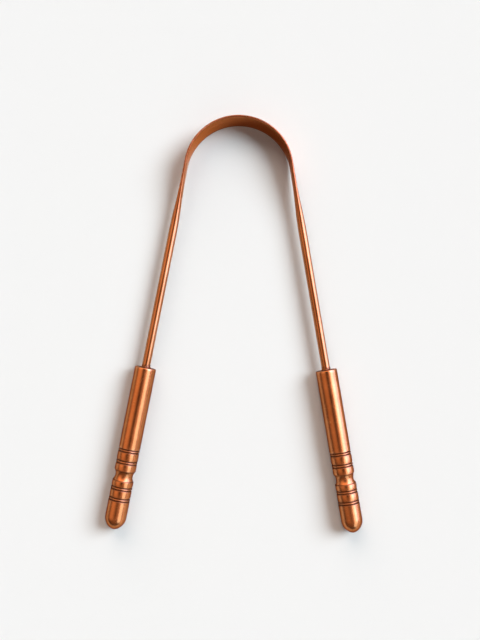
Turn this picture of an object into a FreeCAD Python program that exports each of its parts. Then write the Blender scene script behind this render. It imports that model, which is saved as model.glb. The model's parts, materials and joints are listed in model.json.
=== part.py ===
# Tongue scraper: one copper wire bent into a bow, its middle flattened to a thin leaning blade,
# with a turned copper handle soldered on each end of the wire.
# It lies flat: +Z is up, +Y runs from the handles to the arch, X runs across, and the origin is
# under the middle of the whole outline, on the surface that it lies on.
import FreeCAD
import Part
import Sketcher
import math
import os

doc = FreeCAD.newDocument("tongue_scraper")

# Driving sizes: millimetres and degrees, and shares of the size that they follow
driving_sizes = {
    # the bow: wire, arch and arms, and the tangs that go into the handles
    "wire_diameter": 2.8,
    "arch_radius": 18.0,
    "arm_length": 70.0,
    "spread_angle": 10.5,
    "tang_length": 14.0,
    # the blade: the arch's flattened strip, just clear of the surface when the handles lie on it,
    # and the tapers that lead back to round wire: round the arch by an angle, then along the arm
    "blade_width": 8.6,
    "blade_thickness": 0.8,
    "blade_lean": 9.5,
    "blade_floor_gap": 0.1,
    "taper_wrap_angle": 22.0,
    "taper_length": 23.0,
    "taper_lead": 2.0,
    "face_crown_share": 0.2,
    # a handle, from its mouth to its tip
    "handle_diameter": 7.2,
    "mouth_rounding": 0.35,
    "barrel_length": 27.85,
    "upper_band_length": 2.75,
    "collar_band_length": 2.4,
    "cove_length": 3.4,
    "cove_waist_diameter": 5.9,
    "cove_step": 0.12,
    "lip_band_length": 1.95,
    "lower_band_length": 2.5,
    "bullet_length": 9.9,
    "nose_length": 4.3,
    "tip_radius": 2.4,
    # the pairs of V grooves that part the bands, with a thin ridge left between two grooves
    "groove_width": 0.4,
    "groove_depth": 0.26,
    "ridge_width": 0.4,
    "band_rounding": 0.08,
    "cut_overrun": 1.0,
    # the blind bore, the solder that fills it and the solder's fillet at the mouth
    "solder_film": 0.1,
    "bore_end_gap": 0.6,
    "drill_point_angle": 118.0,
    "solder_leg_along": 1.0,
    "solder_leg_out": 0.6,
    "solder_hollow_share": 0.8,
}
sheet = doc.addObject("Spreadsheet::Sheet", "sizes")
for row, (alias, value) in enumerate(driving_sizes.items(), start=1):
    sheet.set(f"A{row}", alias)
    sheet.set(f"B{row}", str(value))
    sheet.setAlias(f"B{row}", alias)
doc.recompute()


def work_out(item, formulas):
    # Gives an object named numbers of its own, each bound to a formula in the sheet's sizes.
    for name, formula in formulas.items():
        item.addProperty("App::PropertyFloat", name)
        item.setExpression(name, formula)
    item.recompute()


# Places and sizes that several pieces share: radii, then distances from a handle's mouth
shared = doc.addObject("App::VarSet", "shared")
work_out(shared, {
    "wire_radius": "sizes.wire_diameter / 2",
    "bore_radius": "wire_radius + sizes.solder_film",
    "handle_radius": "sizes.handle_diameter / 2",
    "pair_length": "2 * sizes.groove_width + sizes.ridge_width",
    "upper_pair": "sizes.barrel_length",
    "middle_pair": "upper_pair + pair_length + sizes.upper_band_length",
    "cove_start": "middle_pair + pair_length + sizes.collar_band_length",
    "lip_pair": "cove_start + sizes.cove_length + sizes.lip_band_length",
    "lower_pair": "lip_pair + pair_length + sizes.lower_band_length",
    "handle_length": "lower_pair + pair_length + sizes.bullet_length",
    # the nose: a round tip, and a shoulder that runs into it and into the straight side
    "nose_start": "handle_length - sizes.nose_length",
    "tip_centre": "handle_length - sizes.tip_radius",
    "shoulder_radius": "((sizes.nose_length - sizes.tip_radius) ^ 2 + handle_radius ^ 2"
                       " - sizes.tip_radius ^ 2) / (2 * (handle_radius - sizes.tip_radius))",
    # the arch's centre stands so that the apex and the tips lie equally far from the origin
    "edge_rounding": "sizes.blade_thickness / 2",
    "reach_up": "sizes.arch_radius + edge_rounding"
                " + (sizes.blade_width / 2 - edge_rounding) * sin(sizes.blade_lean)",
    "mouth_run": "sizes.arm_length * cos(sizes.spread_angle)"
                 " - sizes.arch_radius * sin(sizes.spread_angle)",
    "reach_down": "mouth_run + handle_length * cos(sizes.spread_angle)",
    "arch_place": "(reach_down - reach_up) / 2",
    "mouth_place": "arch_place - mouth_run",
    "mouth_spread": "sizes.arch_radius * cos(sizes.spread_angle)"
                    " + sizes.arm_length * sin(sizes.spread_angle)",
    # the handles lie on the surface, and the blade is set up where it would reach under them
    "axis_height": "handle_radius",
    "blade_lift": "max(0; sizes.blade_width / 2 + sizes.blade_floor_gap - axis_height)",
    # where the full blade ends: its bearing from the arch's centre, and the way back to round wire
    "blade_end": "sizes.spread_angle + sizes.taper_wrap_angle",
    "taper_run": "sizes.taper_length + sizes.arch_radius * sizes.taper_wrap_angle * pi / 180",
})


def new_sketch(body, name, role="XY_Plane"):
    sketch = body.newObject("Sketcher::SketchObject", name)
    sketch.AttachmentSupport = [(next(p for p in body.Origin.OriginFeatures if p.Role == role), "")]
    sketch.MapMode = "FlatFace"
    return sketch


def bind_size(sketch, formula, kind, *where_and_value):
    index = sketch.addConstraint(Sketcher.Constraint(kind, *where_and_value))
    sketch.setExpression(f"Constraints[{index}]", formula)


def draw_outline(sketch, name, corners, arcs=None):
    # Draws a closed outline from corner to corner, (out from the axis, along it), as formulas.
    # arcs gives the stretches that are round, by their first corner: radius, and +1 or -1 to bulge
    # left or right of the way that the outline runs.
    arcs = arcs or {}
    work_out(sketch, {f"{name}_out_{i}": out for i, (out, along) in enumerate(corners)})
    work_out(sketch, {f"{name}_along_{i}": along for i, (out, along) in enumerate(corners)})
    work_out(sketch, {f"{name}_radius_{i}": radius for i, (radius, side) in arcs.items()})
    points = [
        FreeCAD.Vector(getattr(sketch, f"{name}_out_{i}"), getattr(sketch, f"{name}_along_{i}"), 0)
        for i in range(len(corners))
    ]
    ends = []
    for i, start in enumerate(points):
        finish = points[(i + 1) % len(points)]
        if i not in arcs:
            stretch = sketch.addGeometry(Part.LineSegment(start, finish))
            ends.append((stretch, 1, 2))
            continue
        radius = getattr(sketch, f"{name}_radius_{i}")
        side = arcs[i][1]
        chord = finish - start
        left = FreeCAD.Vector(-chord.y, chord.x, 0).normalize()
        centre = (start + finish) / 2 - left * side * math.sqrt(radius ** 2 - (chord.Length / 2) ** 2)
        sweep = [math.atan2(point.y - centre.y, point.x - centre.x) for point in (start, finish)]
        circle = Part.Circle(centre, FreeCAD.Vector(0, 0, 1), radius)
        stretch = sketch.addGeometry(Part.ArcOfCircle(circle, *(sweep if side < 0 else reversed(sweep))))
        ends.append((stretch, 1, 2) if side < 0 else (stretch, 2, 1))
        bind_size(sketch, f"{name}_radius_{i}", "Radius", stretch, radius)
    for i, (stretch, first, last) in enumerate(ends):
        before, before_first, before_last = ends[i - 1]
        sketch.addConstraint(Sketcher.Constraint("Coincident", before, before_last, stretch, first))
        for formula, kind, axis, value in (
            (corners[i][0], "DistanceX", -2, points[i].x),
            (corners[i][1], "DistanceY", -1, points[i].y),
        ):
            if formula == "0":
                sketch.addConstraint(Sketcher.Constraint("PointOnObject", stretch, first, axis))
            else:
                bound = f"{name}_out_{i}" if kind == "DistanceX" else f"{name}_along_{i}"
                bind_size(sketch, bound, kind, -1, 1, stretch, first, value)


def turn(body, kind, sketch):
    # Turns an outline right round the body's own long axis, as stock or as a cut.
    feature = body.newObject(f"PartDesign::{kind}", f"{kind.lower()}_of_{sketch.Name}")
    feature.Profile = sketch
    feature.ReferenceAxis = (sketch, ["V_Axis"])
    doc.recompute()
    return feature


# The bow
bow = doc.addObject("PartDesign::Body", "scraper_bow")
bow.setExpression(
    "Placement",
    "placement(vector(0; shared.arch_place; shared.axis_height); rotation(0; 0; 0))",
)
taper_step_count = 8
arch_step_count = 12


def oval_section(name, width, thickness, place):
    # The section of a flattened wire: two faces with a slight crown and two round edges, as four
    # arcs that run into each other. Its width stands up the sketch and its thickness lies across.
    sketch = new_sketch(bow, name)
    sketch.setExpression("AttachmentOffset", place)
    work_out(sketch, {
        "half_width": f"({width}) / 2",
        "half_thickness": f"({thickness}) / 2",
        "slope": "sizes.face_crown_share * half_thickness / half_width",
        "edge_radius": "half_thickness * (1 - sizes.face_crown_share) / (1 - slope)",
        "face_radius": "half_thickness + (half_width - edge_radius) * (1 - slope ^ 2) / (2 * slope)",
        "corner_out": "edge_radius * (1 - slope ^ 2) / (1 + slope ^ 2)",
        "corner_up": "half_width - edge_radius + edge_radius * 2 * slope / (1 + slope ^ 2)",
    })
    lean = 2 * math.atan(sketch.slope)
    edge_centre = sketch.half_width - sketch.edge_radius
    face_centre = sketch.face_radius - sketch.half_thickness
    for out, up, radius, middle, half_sweep in (
        (0, edge_centre, sketch.edge_radius, math.pi / 2, math.pi / 2 - lean),
        (face_centre, 0, sketch.face_radius, math.pi, lean),
        (0, -edge_centre, sketch.edge_radius, 3 * math.pi / 2, math.pi / 2 - lean),
        (-face_centre, 0, sketch.face_radius, 2 * math.pi, lean),
    ):
        circle = Part.Circle(FreeCAD.Vector(out, up, 0), FreeCAD.Vector(0, 0, 1), radius)
        sketch.addGeometry(Part.ArcOfCircle(circle, middle - half_sweep, middle + half_sweep))
    top, inner, bottom, outer = range(4)
    start, end, centre = 1, 2, 3
    for arc, following in ((top, inner), (inner, bottom), (bottom, outer), (outer, top)):
        sketch.addConstraint(Sketcher.Constraint("Coincident", arc, end, following, start))
    for arc, axis in ((top, -2), (bottom, -2), (inner, -1)):
        sketch.addConstraint(Sketcher.Constraint("PointOnObject", arc, centre, axis))
    for arc, kind in ((top, "Horizontal"), (inner, "Vertical"), (bottom, "Horizontal")):
        sketch.addConstraint(Sketcher.Constraint(kind, arc, start, arc, end))
    sketch.addConstraint(Sketcher.Constraint("Equal", top, bottom))
    sketch.addConstraint(Sketcher.Constraint("Equal", inner, outer))
    bind_size(sketch, "edge_radius", "Radius", top, sketch.edge_radius)
    bind_size(sketch, "face_radius", "Radius", inner, sketch.face_radius)
    bind_size(sketch, "corner_out", "DistanceX", -1, 1, top, start, sketch.corner_out)
    bind_size(sketch, "corner_up", "DistanceY", -1, 1, top, start, sketch.corner_up)
    return sketch


def section_place(bearing, run, lift, lean):
    # bearing is the way out from the arch's centre, run the way back along the arm from the arch's
    # end, plus on the right arm and minus on the left, and lift the height over the arms.
    return (
        f"placement(vector(sizes.arch_radius * cos({bearing}) + ({run}) * sin({bearing});"
        f" sizes.arch_radius * sin({bearing}) - ({run}) * cos({bearing}); {lift});"
        f" rotation({bearing}; {lean}; 90))"
    )


def taper_section(side, step):
    # From round wire at step 0 to the full blade at the last step; step -1 is round wire too, one
    # lead further back. Width and thickness change by equal ratios, so the metal's area is nearly kept.
    flat_share = max(step, 0) / taper_step_count
    ease_share = flat_share ** 2 * (3 - 2 * flat_share)
    past_arm = f"(shared.taper_run * {flat_share} - sizes.taper_length)"
    round_arch = f"(sizes.spread_angle + max(0; {past_arm}) / sizes.arch_radius * 180 / pi)"
    bearing = round_arch if side > 0 else f"(180 - {round_arch})"
    lead = "sizes.taper_lead" if step < 0 else "0"
    return oval_section(
        f"{'right' if side > 0 else 'left'}_section_{step + 1}",
        f"sizes.wire_diameter * (sizes.blade_width / sizes.wire_diameter) ^ {ease_share}",
        f"sizes.wire_diameter * (sizes.blade_thickness / sizes.wire_diameter) ^ {ease_share}",
        section_place(
            bearing,
            f"{side} * (max(0; -{past_arm}) + {lead})",
            f"shared.blade_lift * {ease_share}",
            f"atan(tan(sizes.blade_lean) * sin({bearing})) * {flat_share}",
        ),
    )


def arch_section(step):
    bearing = f"(180 - shared.blade_end - (180 - 2 * shared.blade_end) * {step / arch_step_count})"
    return oval_section(
        f"arch_section_{step}",
        "sizes.blade_width",
        "sizes.blade_thickness",
        section_place(bearing, "0", "shared.blade_lift", f"atan(tan(sizes.blade_lean) * sin({bearing}))"),
    )


sections = [taper_section(-1, step) for step in range(-1, taper_step_count + 1)]
sections += [arch_section(step) for step in range(1, arch_step_count)]
sections += [taper_section(1, step) for step in range(taper_step_count, -2, -1)]
doc.recompute()
blade = bow.newObject("PartDesign::AdditiveLoft", "blade_and_tapers")
blade.Profile = sections[0]
blade.Sections = sections[1:]
doc.recompute()
for name, section, points_inwards in (("left_arm", sections[0], True), ("right_arm", sections[-1], False)):
    arm = bow.newObject("PartDesign::Pad", name)
    arm.Profile = section
    arm.Reversed = points_inwards
    arm.setExpression(
        "Length",
        "sizes.arm_length + sizes.tang_length - sizes.taper_length - sizes.taper_lead",
    )
    doc.recompute()
pieces = [bow]


def rim_names(feature, places):
    # The names of a turned feature's outer round edges at these distances from the mouth.
    near = sheet.get("band_rounding") / 10
    return [
        f"Edge{number}"
        for number, edge in enumerate(feature.Shape.Edges, start=1)
        if not edge.Degenerated
        and isinstance(edge.Curve, Part.Circle)
        and abs(edge.Curve.Radius - shared.handle_radius) < near
        and any(abs(edge.Curve.Center.y - place) < near for place in places)
    ]


def make_handle(name):
    # Turned from bar: a plain barrel, bands parted by pairs of grooves, a cove and a bullet tip.
    handle = doc.addObject("PartDesign::Body", name)
    bar = new_sketch(handle, f"{name}_bar")
    tip_share = "sizes.tip_radius / (shared.shoulder_radius - sizes.tip_radius)"
    draw_outline(
        bar,
        "bar",
        [
            ("0", "0"),
            ("shared.handle_radius", "0"),
            ("shared.handle_radius", "shared.nose_start"),
            (
                f"(shared.shoulder_radius - shared.handle_radius) * {tip_share}",
                f"shared.tip_centre + (shared.tip_centre - shared.nose_start) * {tip_share}",
            ),
            ("0", "shared.handle_length"),
        ],
        {2: ("shared.shoulder_radius", -1), 3: ("sizes.tip_radius", -1)},
    )
    turn(handle, "Revolution", bar)

    cove = new_sketch(handle, f"{name}_cove")
    foot = "(shared.handle_radius - sizes.cove_step)"
    sag = f"({foot} - sizes.cove_waist_diameter / 2)"
    outside = "shared.handle_radius + sizes.cut_overrun"
    cove_end = "shared.cove_start + sizes.cove_length"
    draw_outline(
        cove,
        "cove",
        [
            (foot, "shared.cove_start"),
            (outside, "shared.cove_start"),
            (outside, cove_end),
            (foot, cove_end),
        ],
        {3: (f"({sag} ^ 2 + (sizes.cove_length / 2) ^ 2) / (2 * {sag})", -1)},
    )
    turn(handle, "Groove", cove)

    grooves = new_sketch(handle, f"{name}_grooves")
    spread = "sizes.groove_width / 2 * (sizes.groove_depth + sizes.cut_overrun) / sizes.groove_depth"
    rims = []
    for pair in ("upper_pair", "middle_pair", "lip_pair", "lower_pair"):
        for turn_in, offset in (
            ("first", "sizes.groove_width / 2"),
            ("second", "shared.pair_length - sizes.groove_width / 2"),
        ):
            middle = f"shared.{pair} + {offset}"
            draw_outline(
                grooves,
                f"{pair}_{turn_in}",
                [
                    ("shared.handle_radius - sizes.groove_depth", middle),
                    (outside, f"{middle} - {spread}"),
                    (outside, f"{middle} + {spread}"),
                ],
            )
        start = getattr(shared, pair)
        width = sheet.get("groove_width")
        rims += [start, start + width, start + shared.pair_length - width, start + shared.pair_length]
    cut = turn(handle, "Groove", grooves)

    rounding = handle.newObject("PartDesign::Fillet", f"{name}_band_rounding")
    rounding.Base = (cut, rim_names(cut, rims))
    rounding.setExpression("Radius", "sizes.band_rounding")
    doc.recompute()
    mouth = handle.newObject("PartDesign::Fillet", f"{name}_mouth_rounding")
    mouth.Base = (rounding, rim_names(rounding, [0]))
    mouth.setExpression("Radius", "sizes.mouth_rounding")
    doc.recompute()

    drill = new_sketch(handle, f"{name}_drill", "XZ_Plane")
    circle = drill.addGeometry(Part.Circle(FreeCAD.Vector(), FreeCAD.Vector(0, 0, 1), shared.bore_radius))
    drill.addConstraint(Sketcher.Constraint("Coincident", circle, 3, -1, 1))
    bind_size(drill, "shared.bore_radius", "Radius", circle, shared.bore_radius)
    doc.recompute()
    bore = handle.newObject("PartDesign::Hole", f"{name}_bore")
    bore.Profile = drill
    bore.Threaded = False
    bore.DepthType = "Dimension"
    bore.DrillPoint = "Angled"
    bore.setExpression("Diameter", "2 * shared.bore_radius")
    bore.setExpression("Depth", "sizes.tang_length + sizes.bore_end_gap")
    bore.setExpression("DrillPointAngle", "sizes.drill_point_angle")
    doc.recompute()
    if bore.Shape.Volume >= mouth.Shape.Volume:
        raise RuntimeError(f"the bore of {name} cut nothing")
    return handle


def make_solder_joint(name):
    # The solder that fills the bore round the tang and stands as a hollow fillet at the mouth.
    solder = doc.addObject("PartDesign::Body", name)
    section = new_sketch(solder, f"{name}_section")
    legs = "sqrt(sizes.solder_leg_along ^ 2 + sizes.solder_leg_out ^ 2)"
    draw_outline(
        section,
        "solder",
        [
            ("shared.wire_radius", "-sizes.solder_leg_along"),
            ("shared.wire_radius + sizes.solder_leg_out", "0"),
            ("shared.bore_radius", "0"),
            ("shared.bore_radius", "sizes.tang_length"),
            ("shared.wire_radius", "sizes.tang_length"),
        ],
        {0: (f"{legs} * sizes.solder_hollow_share", 1)},
    )
    turn(solder, "Revolution", section)
    return solder


# A handle and its solder on each arm, both along the arm's own line from the handle's mouth
for side_name, side in (("left", -1), ("right", 1)):
    for piece in (make_handle(f"{side_name}_handle"), make_solder_joint(f"{side_name}_solder_joint")):
        piece.setExpression(
            "Placement",
            f"placement(vector({side} * shared.mouth_spread; shared.mouth_place; shared.axis_height);"
            f" rotation(180 + {side} * sizes.spread_angle; 0; 0))",
        )
        pieces.append(piece)
doc.recompute()

# Every object has to be sound before anything is written
for item in doc.Objects:
    if "Invalid" in item.State or "Error" in item.State:
        raise RuntimeError(f"{item.Label} is {item.State}")
for piece in pieces:
    if piece.Shape.isNull() or not piece.Shape.isValid() or len(piece.Shape.Solids) != 1:
        raise RuntimeError(f"{piece.Label} is not one sound solid")
os.makedirs("parts", exist_ok=True)
for piece in pieces:
    piece.Shape.exportStep(f"parts/{piece.Label}.step")
    print(f"{piece.Label}: {piece.Shape.Volume:.2f} mm3")
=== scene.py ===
import json
import math

import bmesh
import bpy
from mathutils import Matrix, Vector


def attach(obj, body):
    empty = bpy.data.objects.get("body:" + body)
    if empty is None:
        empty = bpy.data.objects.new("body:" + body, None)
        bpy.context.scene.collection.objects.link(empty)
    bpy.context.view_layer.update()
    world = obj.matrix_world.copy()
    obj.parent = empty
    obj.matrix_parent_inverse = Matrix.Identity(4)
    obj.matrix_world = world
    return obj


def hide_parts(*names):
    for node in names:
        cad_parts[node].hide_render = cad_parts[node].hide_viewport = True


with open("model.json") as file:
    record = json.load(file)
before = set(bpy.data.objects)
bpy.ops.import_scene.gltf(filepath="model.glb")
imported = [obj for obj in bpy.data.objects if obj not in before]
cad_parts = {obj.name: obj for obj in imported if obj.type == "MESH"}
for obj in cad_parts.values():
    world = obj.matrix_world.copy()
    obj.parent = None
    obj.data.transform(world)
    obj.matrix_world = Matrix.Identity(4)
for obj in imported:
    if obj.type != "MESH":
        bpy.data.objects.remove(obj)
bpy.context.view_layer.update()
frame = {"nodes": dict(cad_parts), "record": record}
mm = 0.001
print("frame in:", ", ".join(sorted(frame["nodes"])))


# mesh helpers

def skinRings(name, rings, traits, closed=False):
    # rings follow each other along the piece; a ring of one point is a pole
    shell = bmesh.new()
    layers = {}
    for trait, values in traits.items():
        isVector = isinstance(values[0], list) and isinstance(values[0][0], Vector)
        kind = shell.verts.layers.float_vector if isVector else shell.verts.layers.float
        layers[trait] = kind.new(trait)
    loops = [[shell.verts.new(point) for point in ring] for ring in rings]
    for trait, values in traits.items():
        # one value for each ring, or a list with one for each of its points
        for loop, value in zip(loops, values):
            for place, vert in enumerate(loop):
                vert[layers[trait]] = value[place] if isinstance(value, list) else value
    pairs = list(zip(loops, loops[1:]))
    if closed:
        pairs.append((loops[-1], loops[0]))
    for first, second in pairs:
        count = max(len(first), len(second))
        for a in range(count):
            b = (a + 1) % count
            if len(first) == 1:
                shell.faces.new((first[0], second[b], second[a]))
            elif len(second) == 1:
                shell.faces.new((first[a], first[b], second[0]))
            else:
                shell.faces.new((first[a], first[b], second[b], second[a]))
    for face in shell.faces:
        face.smooth = True
    bmesh.ops.recalc_face_normals(shell, faces=shell.faces)
    mesh = bpy.data.meshes.new(name)
    shell.to_mesh(mesh)
    shell.free()
    piece = bpy.data.objects.new(name, mesh)
    bpy.context.scene.collection.objects.link(piece)
    return piece


def turned(profile, steps):
    # profile points are (distance along, radius) in mm, turned about local Z
    rings = []
    for along, radius in profile:
        if radius <= 0:
            rings.append([Vector((0, 0, along * mm))])
            continue
        ring = []
        for step in range(steps):
            turn = 2 * math.pi * step / steps
            ring.append(Vector((radius * math.cos(turn), radius * math.sin(turn), along)) * mm)
        rings.append(ring)
    return rings


def smoothStep(share):
    share = min(1.0, max(0.0, share))
    return share * share * (3 - 2 * share)


# node helpers

class NodeBoard:
    def __init__(self, material):
        material.use_nodes = True
        self.tree = material.node_tree
        self.tree.nodes.clear()

    def add(self, kind, settings=None, **inputs):
        node = self.tree.nodes.new(kind)
        for key, value in (settings or {}).items():
            setattr(node, key, value)
        for key, value in inputs.items():
            self.feed(node, key, value)
        return node

    def feed(self, node, key, value):
        socket = node.inputs[int(key[1:])] if key[0] == "n" and key[1:].isdigit() else node.inputs[key]
        if isinstance(value, bpy.types.NodeSocket):
            self.tree.links.new(value, socket)
        else:
            socket.default_value = value

    def ramp(self, value, stops):
        node = self.add("ShaderNodeValToRGB", Fac=value)
        bar = node.color_ramp.elements
        while len(bar) < len(stops):
            bar.new(0.5)
        for stop, (place, shade) in zip(bar, stops):
            stop.position = place
            stop.color = (*shade, 1) if isinstance(shade, tuple) else (shade, shade, shade, 1)
        return node.outputs["Color"]

    def math(self, operation, first, second=0.0):
        return self.add("ShaderNodeMath", {"operation": operation}, n0=first, n1=second).outputs[0]

    def dot(self, first, second):
        node = self.add("ShaderNodeVectorMath", {"operation": "DOT_PRODUCT"}, n0=first, n1=second)
        return node.outputs["Value"]

    def mix(self, share, first, second):
        node = self.add("ShaderNodeMix", {"data_type": "RGBA"}, n0=share, n6=first, n7=second)
        return node.outputs[2]

    def trait(self, name):
        return self.add("ShaderNodeAttribute", {"attribute_name": name}).outputs["Fac"]

    def part(self, value, share):
        return self.math("MULTIPLY", value, share)

    def straight(self):
        # places on the piece as it lay before it was bent and turned
        return self.add("ShaderNodeAttribute", {"attribute_name": "straight"}).outputs["Vector"]

    def noise(self, where, scale=1.0, detail=3.0, roughness=0.55, distortion=0.0):
        node = self.add("ShaderNodeTexNoise", Vector=where, Scale=scale, Detail=detail,
                        Roughness=roughness, Distortion=distortion)
        return node.outputs["Fac"]

    def grain(self, where, stretch, turn=(0.0, 0.0, 0.0), **shape):
        # noise that is drawn out one way
        drawn = self.add("ShaderNodeMapping", Vector=where, Scale=stretch, Rotation=turn)
        return self.noise(drawn.outputs[0], **shape)


# handles: turned from bar, bored for the wire

handleTurning = {
    "diameter": 7.2,
    "bore": 3.0,
    "boreDepth": 14.6,
    "drillPoint": 0.9,
    "boreBreak": 0.05,   # the bore's edge is broken by this much
    "faceInset": 0.2,    # the first ring on the mouth's face lies this far out from the bore
    "mouthRound": 0.35,
    "barrel": 27.85,
    "upperBand": 2.75,
    "collarBand": 2.4,
    "cove": 3.4,
    "coveWaist": 5.9,
    "coveStep": 0.12,
    "coveInset": 0.02,
    "lipBand": 1.95,
    "lowerBand": 2.5,
    "bullet": 9.9,
    "nose": 4.3,
    "tipRound": 2.4,
    "grooveWidth": 0.40,
    "grooveDepth": 0.26,
    "ridgeWidth": 0.40,
    "bandCrown": 0.05,   # bands swell this much in their middle
    "edgeRound": 0.10,
    # shares of the width, with shares of the depth for a groove and mm below the top for a ridge
    "grooveForm": ((0.18, 0.55), (0.36, 0.9), (0.5, 1.0), (0.64, 0.9), (0.82, 0.55)),
    "ridgeForm": ((0.03, 0.07), (0.12, 0.03), (0.26, 0.008)),
    "grainShift": {"left": (0.0, 0.0, 0.0), "right": (0.3, 0.1, 0.7)},
}

# points round a handle, and spans along each stretch of it
handleSpans = {
    "round": 112,
    "edge": 5,
    "face": 5,
    "mouth": 8,
    "barrel": 40,
    "cove": 22,
    "bullet": 12,
    "shoulder": 10,
    "tip": 14,
    "bandLeast": 6,
    "bandLength": 0.45,  # mm of a band for each span
}

# shares of tarnish and of rubbed metal; a reach is the mm over which they fade from an edge
handleAge = {
    "edgeFoot": 0.8,
    "edgeFall": 0.1,     # from ring to ring of an edge's rounding
    "edgeTop": {"band": 0.3, "barrel": 0.4},
    "edgeWear": 0.25,
    "bandEdge": 0.35,
    "bandReach": 0.22,
    "bulletReach": 0.25,
    "groove": (0.6, 0.4),  # at the top, and more at the floor
    "ridge": 0.25,
    "ridgeWear": 0.35,
    "boreMouth": 0.6,
    "face": 0.55,
    "faceFall": 0.07,
    "mouthWear": 0.7,
    "mouthReach": 0.5,
    "barrelReach": 0.3,
    "coveCorner": 0.85,
    "coveDip": 0.12,
    "coveReach": 0.35,
}


def handleProfile(cut, spans, age):
    radius = cut["diameter"] / 2
    bore = cut["bore"] / 2
    edge = cut["edgeRound"]
    mouth = cut["mouthRound"]
    points = []  # (along, radius, patina, wear)

    def put(along, out, patina=0.0, wear=0.0):
        points.append((along, out, patina, wear))

    def near(gap, reach):
        return max(0.0, 1 - gap / reach)

    def rounding(size, turn):
        return size * (1 - math.cos(turn)), size * (1 - math.sin(turn))

    def edgeUp(start, out):
        for step in range(spans["edge"]):
            along, drop = rounding(edge, math.pi / 2 * step / spans["edge"])
            put(start + along, out - drop, age["edgeFoot"] - age["edgeFall"] * step, age["edgeWear"])

    def edgeDown(end, out, steps, patina):
        for step in range(1, steps + 1):
            along, drop = rounding(edge, math.pi / 2 * (1 - step / spans["edge"]))
            put(end - along, out - drop, patina + age["edgeFall"] * step, age["edgeWear"])

    def band(start, length):
        # a crowned cylinder with broken edges
        crown = cut["bandCrown"]
        edgeUp(start, radius - crown)
        flat = length - 2 * edge
        count = max(spans["bandLeast"], round(flat / spans["bandLength"]))
        for step in range(count + 1):
            share = step / count
            rise = 1 - (2 * share - 1) ** 2
            close = near(min(share, 1 - share) * flat, age["bandReach"])
            out = radius - crown * (1 - rise)
            put(start + edge + flat * share, out, age["bandEdge"] * close, age["edgeWear"] * close)
        edgeDown(start + length, radius - crown, spans["edge"], age["edgeTop"]["band"])

    def groove(start):
        top = radius - edge
        depth = cut["grooveDepth"] - edge
        shade, more = age["groove"]
        for share, low in cut["grooveForm"]:
            put(start + cut["grooveWidth"] * share, top - depth * low, shade + more * low)

    def ridge(start):
        half = cut["ridgeForm"]
        for share, drop in (*half, (0.5, 0.0), *((1 - share, drop) for share, drop in reversed(half))):
            put(start + cut["ridgeWidth"] * share, radius - drop, age["ridge"], age["ridgeWear"])

    def pair(start):
        groove(start)
        ridge(start + cut["grooveWidth"])
        groove(start + cut["grooveWidth"] + cut["ridgeWidth"])
        return start + 2 * cut["grooveWidth"] + cut["ridgeWidth"]

    # the bore, from its drilled end to the mouth, then the mouth's face and rounding
    put(cut["boreDepth"] + cut["drillPoint"], 0.0, 1.0)
    for along in (cut["boreDepth"], cut["boreDepth"] / 2, cut["boreBreak"]):
        put(along, bore, 1.0)
    put(0.0, bore + cut["boreBreak"], age["boreMouth"])
    faceStart = bore + cut["faceInset"]
    faceWidth = radius - mouth - bore - cut["faceInset"]
    for step in range(spans["face"] + 1):
        put(0.0, faceStart + faceWidth * step / spans["face"], age["face"] - age["faceFall"] * step)
    for step in range(1, spans["mouth"]):
        along, drop = rounding(mouth, math.pi / 2 * step / spans["mouth"])
        put(along, radius - drop, 0.0, age["mouthWear"])
    # the plain barrel
    barrelEnd = cut["barrel"] - edge
    for step in range(spans["barrel"] + 1):
        along = mouth + (barrelEnd - mouth) * step / spans["barrel"]
        wear = near(along - mouth, age["mouthReach"]) + near(barrelEnd - along, age["barrelReach"])
        put(along, radius, 0.0, age["mouthWear"] * min(1.0, wear))
    edgeDown(cut["barrel"], radius, spans["edge"] - 1, age["edgeTop"]["barrel"])
    at = pair(cut["barrel"])
    band(at, cut["upperBand"])
    at = pair(at + cut["upperBand"])
    band(at, cut["collarBand"])
    at += cut["collarBand"]
    # the cove, a hollow between two small steps
    waist = cut["coveWaist"] / 2
    rim = radius - cut["coveStep"] - cut["bandCrown"]
    inset = cut["coveInset"]
    for step in range(spans["cove"] + 1):
        share = step / spans["cove"]
        dip = 1 - (2 * share - 1) ** 2
        corner = near(min(share, 1 - share) * cut["cove"], age["coveReach"])
        along = at + inset + (cut["cove"] - 2 * inset) * share
        put(along, rim - (rim - waist) * dip, age["coveCorner"] * corner + age["coveDip"] * dip)
    at += cut["cove"]
    band(at, cut["lipBand"])
    at = pair(at + cut["lipBand"])
    band(at, cut["lowerBand"])
    at = pair(at + cut["lowerBand"])
    # the bullet nose: straight, then a shoulder arc that runs into the round tip
    edgeUp(at, radius)
    straight = cut["bullet"] - cut["nose"]
    for step in range(spans["bullet"] + 1):
        along = edge + (straight - edge) * step / spans["bullet"]
        close = near(along - edge, age["bulletReach"])
        put(at + along, radius, age["bandEdge"] * close, age["edgeWear"] * close)
    tip = cut["tipRound"]
    reach = cut["nose"] - tip
    shoulder = (reach ** 2 + radius ** 2 - tip ** 2) / (2 * (radius - tip))
    meet = math.atan2(reach, shoulder - radius)
    for step in range(1, spans["shoulder"] + 1):
        turn = meet * step / spans["shoulder"]
        put(at + straight + shoulder * math.sin(turn), radius - shoulder * (1 - math.cos(turn)))
    for step in range(1, spans["tip"] + 1):
        turn = meet + (math.pi / 2 - meet) * step / spans["tip"]
        out = tip * math.cos(turn) if step < spans["tip"] else 0.0
        put(at + straight + reach + tip * math.sin(turn), out)
    return points


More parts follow.
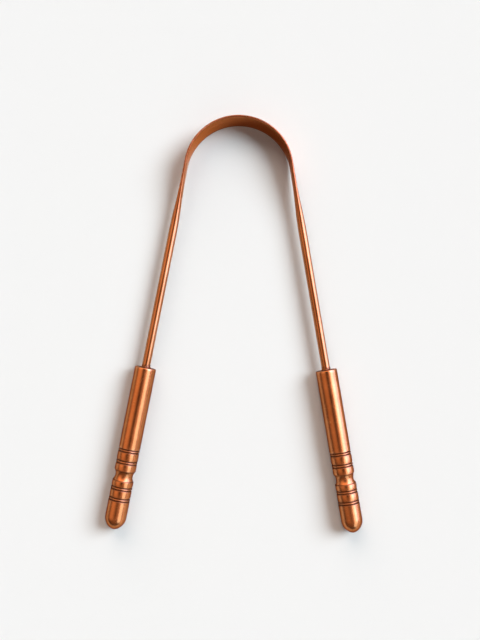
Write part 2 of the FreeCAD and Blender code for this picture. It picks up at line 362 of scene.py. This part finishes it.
def handlePlace(mount):
    # local Z runs down the handle from its mouth
    along = Vector(mount["axis"]).normalized()
    wall = mount["dims"]["length_mm"] * mm  # the straight wall starts behind the mouth's rounding
    mouth = Vector(mount["pos_m"]) - along * (wall / 2 + handleTurning["mouthRound"] * mm)
    up = Vector((0, 0, 1))
    place = Matrix((up.cross(along), up, along)).transposed().to_4x4()
    place.translation = mouth
    return place


def makeHandle(side, place):
    points = handleProfile(handleTurning, handleSpans, handleAge)
    rings = turned([p[:2] for p in points], handleSpans["round"])
    shift = Vector(handleTurning["grainShift"][side])  # so that no two finishes look the same
    traits = {
        "patina": [p[2] for p in points],
        "wear": [p[3] for p in points],
        "straight": [[point + shift for point in ring] for ring in rings],
    }
    placed = [[place @ point for point in ring] for ring in rings]
    return skinRings("turned_handle_" + side, placed, traits)


mounts = {mount["name"]: mount for mount in frame["record"]["mounts"]}
places = {side: handlePlace(mounts[side + "_handle_bar"]) for side in ("left", "right")}
handles = {side: makeHandle(side, places[side]) for side in ("left", "right")}
for side, place in places.items():
    print("handle", side, "mouth at", [round(x / mm, 3) for x in place.translation])


# bow: one wire, its middle rolled flat into the blade

bowForming = {
    "wire": 2.8,
    "archRadius": 18.0,
    "arm": 70.0,
    "spread": 10.5,      # degrees that each arm leans out
    "tang": 14.0,
    "bladeWidth": 8.6,
    "bladeThick": 0.8,
    "bladeLean": 9.5,    # degrees that the blade's upper edge leans out
    "bladeLift": 0.8,    # the blade spreads more upwards than down
    "taperWrap": 22.0,   # degrees of the arch that each taper takes in, before the arm
    "taper": 23.0,
    "crownShare": 0.2,   # how far the blade's faces swell
    "rimShadeStart": 0.8,     # shares of the half width at which the painted shade, a dark rim along the blade's edges, starts and over which it grows
    "rimShadeGrowth": 0.2,
    "rimShadeFace": 0.6,      # how dark the painted edge shade gets on the faces
    "heatRun": 7.0,      # mm of each arm that the brazing darkens
    "edgeSpans": 14,
    "faceSpans": 10,
    "archSpans": 40,     # in each half of the arch
    "taperSpans": 44,
    "armSpans": 24,
    "tangSpans": 3,
}


def ovalSection(width, thick, form):
    # points (out, up, rim) round a section with two crowned faces and two round edges; rim is how much
    # painted shade darkens the point, full on the round edges
    a, b = width / 2, thick / 2
    q = form["crownShare"] * b / a
    edgeRadius = b * (1 - form["crownShare"]) / (1 - q)
    faceRadius = b + (a - edgeRadius) * (1 - q * q) / (2 * q)
    corner = 2 * math.atan(q)
    cornerUp = a - edgeRadius + edgeRadius * math.sin(corner)
    faceTurn = math.asin(cornerUp / faceRadius)
    points = []
    for side in (1, -1):
        for step in range(form["faceSpans"]):
            turn = faceTurn * (2 * step / form["faceSpans"] - 1)
            out = faceRadius * math.cos(turn) - (faceRadius - b)
            up = faceRadius * math.sin(turn)
            rim = smoothStep((abs(up) / a - form["rimShadeStart"]) / form["rimShadeGrowth"])
            points.append((side * out, side * up, rim * form["rimShadeFace"]))
        for step in range(form["edgeSpans"]):
            turn = corner + (math.pi - 2 * corner) * step / form["edgeSpans"]
            out = edgeRadius * math.cos(turn)
            up = a - edgeRadius + edgeRadius * math.sin(turn)
            points.append((side * out, side * up, 1.0))
    return points


def bowStations(form, mouth):
    # (centre, outward, lean, width, thick, flat share, run from the arch's top) down the right half
    spread = math.radians(form["spread"])
    centreUp = form["arm"] * math.cos(spread) - form["archRadius"] * math.sin(spread)
    centre = Vector((0, mouth.y / mm + centreUp, mouth.z / mm))
    up = Vector((0, 0, 1))
    outward = Vector((math.cos(spread), math.sin(spread), 0))
    down = Vector((math.sin(spread), -math.cos(spread), 0))
    wrap = math.radians(form["taperWrap"])
    leanRise = math.tan(math.radians(form["bladeLean"]))
    stations = []
    for step in range(form["archSpans"]):
        bearing = math.pi / 2 + (spread + wrap - math.pi / 2) * step / form["archSpans"]
        radial = Vector((math.cos(bearing), math.sin(bearing), 0))
        lean = math.atan(leanRise * math.sin(bearing))
        run = form["archRadius"] * (math.pi / 2 - bearing)
        middle = centre + radial * form["archRadius"] + up * form["bladeLift"]
        stations.append((middle, radial, lean, form["bladeWidth"], form["bladeThick"], 1.0, run))
    archRun = form["archRadius"] * (math.pi / 2 - spread)
    tangent = centre + outward * form["archRadius"]
    taperRun = form["taper"] + form["archRadius"] * wrap
    for step in range(form["taperSpans"]):
        share = 1 - step / form["taperSpans"]
        ease = smoothStep(share)
        width = form["wire"] * (form["bladeWidth"] / form["wire"]) ** ease
        thick = form["wire"] * (form["bladeThick"] / form["wire"]) ** ease
        pastArm = taperRun * share - form["taper"]
        bearing = spread + max(0, pastArm) / form["archRadius"]
        radial = Vector((math.cos(bearing), math.sin(bearing), 0))
        lean = math.atan(leanRise * math.sin(bearing)) * share
        middle = centre + radial * form["archRadius"] + down * max(0, -pastArm)
        middle += up * form["bladeLift"] * ease
        stations.append((middle, radial, lean, width, thick, ease, archRun - pastArm))
    armSpans, tangSpans = form["armSpans"], form["tangSpans"]
    plainArm = form["arm"] - form["taper"]
    runs = [form["taper"] + plainArm * step / armSpans for step in range(armSpans + 1)]
    runs += [form["arm"] + form["tang"] * step / tangSpans for step in range(1, tangSpans + 1)]
    for run in runs:
        stations.append((tangent + down * run, outward, 0.0, form["wire"], form["wire"], 0.0, archRun + run))
    return stations


def makeBow(form, mouth):
    right = bowStations(form, mouth)
    mirror = Vector((-1, 1, 1))
    left = [
        (centre * mirror, outward * mirror, lean, width, thick, flat, -run)
        for centre, outward, lean, width, thick, flat, run in right[:0:-1]
    ]
    stations = left + right
    mouthRun = right[-1][6] - form["tang"]
    rings = []
    traits = {"straight": [], "rim": [], "flat": [], "heat": []}
    for centre, outward, lean, width, thick, flat, run in stations:
        across = outward * math.cos(lean) - Vector((0, 0, math.sin(lean)))
        upright = Vector((0, 0, math.cos(lean))) + outward * math.sin(lean)
        section = ovalSection(width, thick, form)
        rings.append([(centre + across * out + upright * up) * mm for out, up, rim in section])
        traits["straight"].append([Vector((out, up, run)) * mm for out, up, rim in section])
        # the painted edge shade (rim) goes on the flattened blade only
        traits["rim"].append([rim * flat for out, up, rim in section])
        traits["flat"].append(flat)
        traits["heat"].append(smoothStep((abs(run) - mouthRun) / form["heatRun"] + 1))
    # a pole closes each end, with the end ring's own traits
    poles = [[sum(end, Vector()) / len(end)] for end in (rings[0], rings[-1])]
    rings = [poles[0], *rings, poles[1]]
    for trait, values in traits.items():
        ends = [[value[0]] if isinstance(value, list) else value for value in (values[0], values[-1])]
        traits[trait] = [ends[0], *values, ends[1]]
    return skinRings("copper_bow", rings, traits)


bow = makeBow(bowForming, places["right"].translation)
print("bow rings in:", len(bow.data.polygons), "faces")


# collars: braze drawn up round each wire at the handle's mouth

collarBraze = {
    "legAlong": 1.0,
    "legOut": 0.6,
    "hollow": 0.8,
    "feather": 0.03,     # how thick the fillet is where it runs out on the wire
    "seat": 0.02,        # the fillet's foot lies this far inside the mouth
    "seatShare": 0.9,    # and reaches this share of legOut
    "depth": 13.9,
    "skin": 0.004,       # clear of the wire
    "boreSkin": 0.002,   # clear of the bore at the inner end
    "backShare": 0.98,   # the inner wall comes up to this share of legAlong
    "uneven": 0.112,     # how much the fillet's height wavers round the wire
    "waver": {"left": 0.7, "right": 2.1},
    "ripple": (0.6, 1.3),  # share and turn of a second, closer wave
    "filletSpans": 12,
    "steps": 72,
}


def makeCollar(side, form, place):
    wire = bowForming["wire"] / 2
    bore = handleTurning["bore"] / 2
    profile = []
    # hollow fillet from the wire down to the mouth's face, then the film in the bore
    for step in range(form["filletSpans"] + 1):
        turn = math.pi / 2 * (step / form["filletSpans"])
        rise = form["legAlong"] * (1 - math.sin(turn)) ** (1 / form["hollow"])
        out = wire + form["feather"] + form["legOut"] * (1 - math.cos(turn)) ** (1 / form["hollow"])
        profile.append((-rise, out))
    profile.append((form["seat"], wire + form["legOut"] * form["seatShare"]))
    profile.append((form["seat"], bore))
    profile.append((form["depth"], bore - form["boreSkin"]))
    profile.append((form["depth"], wire + form["skin"]))
    profile.append((-form["legAlong"] * form["backShare"], wire + form["skin"]))
    rings = turned(profile, form["steps"])
    share, start = form["ripple"]
    for ring in rings:
        for step, point in enumerate(ring):
            turn = 2 * math.pi * step / form["steps"]
            swell = math.sin(2 * turn + form["waver"][side]) + share * math.sin(3 * turn + start)
            if point.z < 0:
                point.z *= 1 + form["uneven"] * swell
    traits = {"straight": [[point.copy() for point in ring] for ring in rings]}
    placed = [[place @ point for point in ring] for ring in rings]
    return skinRings("brazed_collar_" + side, placed, traits, closed=True)


collars = {side: makeCollar(side, collarBraze, places[side]) for side in ("left", "right")}
print("collars in")


# finishes

copperTones = {
    "deep": (0.405, 0.144, 0.052),
    "body": (0.465, 0.171, 0.064),
    "light": (0.525, 0.198, 0.078),
    "wireDeep": (0.33, 0.126, 0.049),
    "wireBody": (0.38, 0.150, 0.061),
    "wireLight": (0.44, 0.178, 0.075),
    "blade": (0.54, 0.160, 0.064),
    # rim: painted shade, a dark outline painted along the blade's rounded edges
    "rim": (0.22, 0.070, 0.028),
    "worn": (0.74, 0.360, 0.200),
    "patina": (0.050, 0.014, 0.006),
    "barEdge": (0.20, 0.060, 0.025),
    "wireEdge": (1.00, 0.580, 0.330),
}
lacquer = {"weight": 0.12, "roughness": 0.2}  # a thin coat, which pales the highlights
noiseMiddle = 0.5

# grain is counted per metre; stops and shares say how much each mark counts

barLook = {
    "clouds": {"scale": 170.0, "detail": 4.0, "roughness": 0.6, "distortion": 0.4},
    "turning": {"stretch": (260.0, 260.0, 9000.0), "detail": 3.0, "roughness": 0.7},
    "feed": {"stretch": (90.0, 90.0, 1400.0), "detail": 2.0, "roughness": 0.5},
    "scratch": {"stretch": (2600.0, 2600.0, 260.0), "turn": (0.5, 0.3, 0.0), "detail": 2.0, "roughness": 0.4},
    "rubbed": {"scale": 900.0, "detail": 2.0},
    "smear": {"scale": 330.0, "detail": 3.0, "roughness": 0.6, "distortion": 0.8},
    "cloudStops": (0.30, 0.48, 0.70),
    "nickStops": ((0.70, 0.0), (0.76, 1.0)),
    "rubbedStops": ((0.25, 0.3), (0.65, 1.0)),
    "smearStops": ((0.35, 0.21), (0.70, 0.27)),
    "tone": {"feed": 0.16, "wear": 0.55, "patina": 0.92},
    "rough": {"turning": 0.14, "wear": 0.06, "patina": 0.25},
    "height": {"turning": 0.5, "feed": 0.5, "nick": 0.15, "metres": 0.000012},
}

wireLook = {
    "clouds": {"stretch": (240.0, 240.0, 70.0), "detail": 4.0, "roughness": 0.6, "distortion": 0.3},
    "drawing": {"stretch": (9000.0, 9000.0, 110.0), "detail": 3.0, "roughness": 0.7},
    "hammer": {"stretch": (420.0, 420.0, 300.0), "detail": 2.0, "roughness": 0.45},
    # broken: noise that breaks up the painted edge shade along the blade
    "broken": {"scale": 700.0, "detail": 2.0},
    "blotched": {"scale": 420.0, "detail": 3.0},
    "cloudStops": (0.30, 0.48, 0.70),
    "brokenStops": ((0.25, 0.4), (0.65, 1.0)),
    "blotchedStops": ((0.30, 0.2), (0.65, 1.0)),
    "smearStops": ((0.35, 0.21), (0.70, 0.27)),
    # rim is the share of the painted shade along the blade's edges
    "tone": {"drawing": 0.14, "flat": 0.95, "rim": 0.9, "heat": 0.55},
    "rough": {"drawing": 0.14, "heat": 0.15},
    "height": {"drawing": 0.25, "hammer": 1.6, "metres": 0.000014},
}

brazeLook = {
    "clouds": {"scale": 900.0, "detail": 4.0, "roughness": 0.65, "distortion": 0.5},
    "grit": {"scale": 1600.0, "detail": 3.0},
    "pits": {"scale": 2200.0, "detail": 3.0, "roughness": 0.6},
    "cloudStops": (0.34, 0.62, 0.85),
    "gritStops": ((0.30, 0.34), (0.70, 0.55)),
    "height": {"metres": 0.00004},
}


def rgba(tone):
    return (*copperTones[tone], 1.0)


def threeTones(places, tones):
    return [(place, copperTones[tone]) for place, tone in zip(places, tones)]


def satinCopper(board, tone, roughness, height, heightScale, grazing):
    surface = board.add("ShaderNodeBsdfPrincipled", Metallic=1.0)
    board.feed(surface, "Specular Tint", rgba(grazing))  # the tone at grazing angles
    board.feed(surface, "Coat Weight", lacquer["weight"])
    board.feed(surface, "Coat Roughness", lacquer["roughness"])
    bump = board.add("ShaderNodeBump", Strength=1.0, Distance=heightScale, Height=height)
    board.feed(surface, "Base Color", tone)
    board.feed(surface, "Roughness", roughness)
    board.feed(surface, "Normal", bump.outputs[0])
    out = board.add("ShaderNodeOutputMaterial")
    board.feed(out, "Surface", surface.outputs[0])


def turnedCopper(look):
    finish = bpy.data.materials.new("turned_copper")
    board = NodeBoard(finish)
    where = board.straight()
    clouds = board.noise(where, **look["clouds"])
    turning = board.grain(where, **look["turning"])
    feed = board.grain(where, **look["feed"])
    nick = board.ramp(board.grain(where, **look["scratch"]), look["nickStops"])
    patina = board.trait("patina")
    rubbed = board.ramp(board.noise(where, **look["rubbed"]), look["rubbedStops"])
    wear = board.part(board.trait("wear"), rubbed)
    share = look["tone"]
    tone = board.ramp(clouds, threeTones(look["cloudStops"], ("deep", "body", "light")))
    tone = board.mix(board.part(feed, share["feed"]), tone, rgba("deep"))
    tone = board.mix(board.part(wear, share["wear"]), tone, rgba("worn"))
    tone = board.mix(board.part(patina, share["patina"]), tone, rgba("patina"))
    share = look["rough"]
    smear = board.ramp(board.noise(where, **look["smear"]), look["smearStops"])
    around = board.math("SUBTRACT", turning, noiseMiddle)
    rough = board.math("ADD", smear, board.part(around, share["turning"]))
    rough = board.math("SUBTRACT", rough, board.part(wear, share["wear"]))
    rough = board.math("ADD", rough, board.part(patina, share["patina"]))
    share = look["height"]
    height = board.math("ADD", board.part(turning, share["turning"]), board.part(feed, share["feed"]))
    height = board.math("SUBTRACT", height, board.part(nick, share["nick"]))
    satinCopper(board, tone, rough, height, share["metres"], "barEdge")
    return finish


def drawnCopper(look):
    finish = bpy.data.materials.new("drawn_copper")
    board = NodeBoard(finish)
    where = board.straight()
    flat = board.trait("flat")
    clouds = board.grain(where, **look["clouds"])
    drawing = board.grain(where, **look["drawing"])
    hammer = board.grain(where, **look["hammer"])
    # the painted edge shade (rim) along the blade, broken up by noise
    broken = board.ramp(board.noise(where, **look["broken"]), look["brokenStops"])
    rim = board.part(board.trait("rim"), broken)
    blotched = board.ramp(board.noise(where, **look["blotched"]), look["blotchedStops"])
    heat = board.part(board.trait("heat"), blotched)
    share = look["tone"]
    tone = board.ramp(clouds, threeTones(look["cloudStops"], ("wireDeep", "wireBody", "wireLight")))
    tone = board.mix(board.part(drawing, share["drawing"]), tone, rgba("wireDeep"))
    tone = board.mix(board.part(flat, share["flat"]), tone, rgba("blade"))
    # painted shade: the blade's edges darkened towards the rim tone
    tone = board.mix(board.part(rim, share["rim"]), tone, rgba("rim"))
    tone = board.mix(board.part(heat, share["heat"]), tone, rgba("patina"))
    share = look["rough"]
    smear = board.ramp(clouds, look["smearStops"])
    around = board.math("SUBTRACT", drawing, noiseMiddle)
    rough = board.math("ADD", smear, board.part(around, share["drawing"]))
    rough = board.math("ADD", rough, board.part(heat, share["heat"]))
    share = look["height"]
    dents = board.part(board.part(hammer, flat), share["hammer"])
    height = board.math("ADD", board.part(drawing, share["drawing"]), dents)
    satinCopper(board, tone, rough, height, share["metres"], "wireEdge")
    return finish


def brazedCopper(look):
    finish = bpy.data.materials.new("brazed_copper")
    board = NodeBoard(finish)
    where = board.straight()
    clouds = board.noise(where, **look["clouds"])
    tone = board.ramp(clouds, threeTones(look["cloudStops"], ("patina", "wireDeep", "wireBody")))
    rough = board.ramp(board.noise(where, **look["grit"]), look["gritStops"])
    height = board.noise(where, **look["pits"])
    satinCopper(board, tone, rough, height, look["height"]["metres"], "barEdge")
    return finish


barFinish = turnedCopper(barLook)
wireFinish = drawnCopper(wireLook)
brazeFinish = brazedCopper(brazeLook)
for side in ("left", "right"):
    handles[side].data.materials.append(barFinish)
    collars[side].data.materials.append(brazeFinish)
    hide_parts(side + "_handle")
    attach(handles[side], "root")
    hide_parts(side + "_solder_joint")
    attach(collars[side], "root")
bow.data.materials.append(wireFinish)
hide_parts("scraper_bow")
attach(bow, "root")
print("finishes on")


# table top, light and camera

studio = {
    "tableSize": 40.0,
    "tableShade": (0.90, 0.90, 0.895),
    "lamps": (
        # bearing from +X towards +Y, height above the table and spread in degrees, strength
        {"name": "window_key", "bearing": 27.0, "height": 39.0, "spread": 38.0, "strength": 3.35,
         "tint": (0.926, 1.025, 1.084)},
        {"name": "far_wall", "bearing": 105.0, "height": 30.0, "spread": 50.0, "strength": 1.6,
         "tint": (1.15, 0.95, 0.83)},
        {"name": "near_wall", "bearing": 290.0, "height": 36.0, "spread": 60.0, "strength": 0.32,
         "tint": (1.15, 0.95, 0.83)},
        {"name": "left_wall", "bearing": 165.0, "height": 40.0, "spread": 60.0, "strength": 0.14,
         "tint": (1.15, 0.95, 0.83)},
    ),
    "ambient": 0.01,
    "cards": (
        # bright, bearing and height in degrees, metres away, long and tall in metres
        {"name": "wide_card", "bright": 2.2, "bearing": 0.0, "height": 44.0, "away": 1.2,
         "size": (3.2, 0.85), "tint": (0.82, 1.1, 1.3)},
        {"name": "window_card", "bright": 2.9, "bearing": 28.0, "height": 28.0, "away": 1.2,
         "size": (1.6, 1.25), "tint": (0.84, 1.0, 2.2)},
        {"name": "low_card", "bright": 0.65, "bearing": 0.0, "height": 9.0, "away": 1.2,
         "size": (3.2, 0.4), "tint": (1.0, 0.62, 0.36)},
    ),
    "wallTint": (1.0, 0.63, 0.38),
    "glowKept": 0.4,        # share of the mirrored room that the copper passes on to the table
    "farSide": (1.3, 1.4),  # the room's level, and how much it grows towards +Y
    "nearSide": 0.35,       # the room's lowest level
    "darkTop": (-0.07, 0.0, 0.998),  # the room's dark ceiling is centred here
    # how light the walls are, from the table's level up to the ceiling's middle
    "wallShades": (
        (0.0, 0.15), (0.30, 0.25), (0.45, 0.5), (0.60, 1.0),
        (0.80, 1.05), (0.93, 0.9), (0.968, 0.4), (0.992, 0.04),
    ),
    "backdrop": (0.92, 0.92, 0.915),
    "horizon": ((0.10, 1.0), (0.22, 0.0)),  # up to here the metal shows the backdrop too
}


def setTable(form):
    half = form["tableSize"] / 2
    corners = [(-half, -half, 0.0), (half, -half, 0.0), (half, half, 0.0), (-half, half, 0.0)]
    mesh = bpy.data.meshes.new("table_top")
    mesh.from_pydata(corners, [], [(0, 1, 2, 3)])
    table = bpy.data.objects.new("table_top", mesh)
    bpy.context.scene.collection.objects.link(table)
    paper = bpy.data.materials.new("pale_paper")
    board = NodeBoard(paper)
    sheet = board.add("ShaderNodeBsdfDiffuse", Color=(*form["tableShade"], 1.0))
    out = board.add("ShaderNodeOutputMaterial")
    board.feed(out, "Surface", sheet.outputs[0])
    mesh.materials.append(paper)


def passedOn(board, form):
    # 1 for what the metal shows, and less for what it throws on to the table
    bounced = board.math("MINIMUM", board.add("ShaderNodeLightPath").outputs["Diffuse Depth"], 1.0)
    return board.math("ADD", board.math("MULTIPLY", bounced, form["glowKept"] - 1.0), 1.0)


def towards(wanted):
    bearing, height = math.radians(wanted["bearing"]), math.radians(wanted["height"])
    level = math.cos(height)
    return Vector((math.cos(bearing) * level, math.sin(bearing) * level, math.sin(height)))


def setLamps(form):
    for wanted in form["lamps"]:
        lamp = bpy.data.lights.new(wanted["name"], "SUN")
        lamp.energy = wanted["strength"]
        lamp.color = wanted["tint"]
        lamp.angle = math.radians(wanted["spread"])
        shade = bpy.data.objects.new(wanted["name"], lamp)
        shade.rotation_euler = towards(wanted).to_track_quat("Z", "Y").to_euler()
        shade.visible_glossy = False  # the metal mirrors the cards and the room instead
        bpy.context.scene.collection.objects.link(shade)


def setCards(form):
    for wanted in form["cards"]:
        card = bpy.data.lights.new(wanted["name"], "AREA")
        card.shape = "RECTANGLE"
        card.size, card.size_y = wanted["size"]
        card.energy = wanted["bright"] * math.pi * card.size * card.size_y
        board = NodeBoard(card)
        glow = board.add("ShaderNodeEmission", Color=(*wanted["tint"], 1.0), Strength=passedOn(board, form))
        out = board.add("ShaderNodeOutputLight")
        board.feed(out, "Surface", glow.outputs[0])
        cardLamp = bpy.data.objects.new(wanted["name"], card)
        cardLamp.location = towards(wanted) * wanted["away"]
        cardLamp.rotation_euler = towards(wanted).to_track_quat("Z", "Y").to_euler()
        cardLamp.visible_diffuse = False
        cardLamp.visible_camera = False
        bpy.context.scene.collection.objects.link(cardLamp)


def setRoom(form):
    room = bpy.data.worlds.new("studio_room")
    bpy.context.scene.world = room
    board = NodeBoard(room)
    along = board.add("ShaderNodeTexCoord").outputs["Generated"]
    upward = board.dot(along, form["darkTop"])
    # the room that the metal mirrors
    stops = [(place, tuple(shade * part for part in form["wallTint"])) for place, shade in form["wallShades"]]
    walls = board.ramp(upward, stops)
    base, growth = form["farSide"]
    rising = board.part(board.dot(along, (0.0, 1.0, 0.0)), base * growth)
    level = board.math("MAXIMUM", board.math("ADD", rising, base), form["nearSide"])
    rays = board.add("ShaderNodeLightPath")
    mirrored = board.math("MAXIMUM", rays.outputs["Is Glossy Ray"], rays.outputs["Is Transmission Ray"])
    level = board.part(level, passedOn(board, form))
    shown = board.add("ShaderNodeBackground", Color=walls, Strength=level)
    soft = board.add("ShaderNodeBackground", Color=(1.0, 1.0, 1.0, 1.0), Strength=form["ambient"])
    either = board.add("ShaderNodeMixShader", Fac=mirrored, n1=soft.outputs[0], n2=shown.outputs[0])
    # the pale backdrop, for the camera and near the horizon for the metal
    pale = board.add("ShaderNodeBackground", Color=(*form["backdrop"], 1.0), Strength=1.0)
    horizon = board.part(mirrored, board.ramp(upward, form["horizon"]))
    seen = board.math("MAXIMUM", rays.outputs["Is Camera Ray"], horizon)
    whole = board.add("ShaderNodeMixShader", Fac=seen, n1=either.outputs[0], n2=pale.outputs[0])
    out = board.add("ShaderNodeOutputWorld")
    board.feed(out, "Surface", whole.outputs[0])


viewing = {
    "away": 280.0,
    "frameTall": 216.0,  # mm of the table that the picture's height takes in
    "aim": (1.15, 1.47),
    "roll": 0.82,
    "sensor": 36.0,
    "clip": (0.01, 20.0),  # metres
}


def setCamera(form):
    eye = bpy.data.cameras.new("overhead_camera")
    eye.sensor_fit = "AUTO"
    eye.sensor_width = form["sensor"]
    eye.lens = eye.sensor_width * form["away"] / form["frameTall"]
    eye.clip_start, eye.clip_end = form["clip"]
    camera = bpy.data.objects.new("overhead_camera", eye)
    plane = handleTurning["diameter"] / 2
    camera.location = Vector((form["aim"][0], form["aim"][1], plane + form["away"])) * mm
    camera.rotation_euler = (0, 0, math.radians(form["roll"]))
    bpy.context.scene.collection.objects.link(camera)
    bpy.context.scene.camera = camera


setTable(studio)
setLamps(studio)
setCards(studio)
setRoom(studio)
setCamera(viewing)
bpy.context.scene.view_settings.view_transform = "Standard"
print("table, light and camera set")
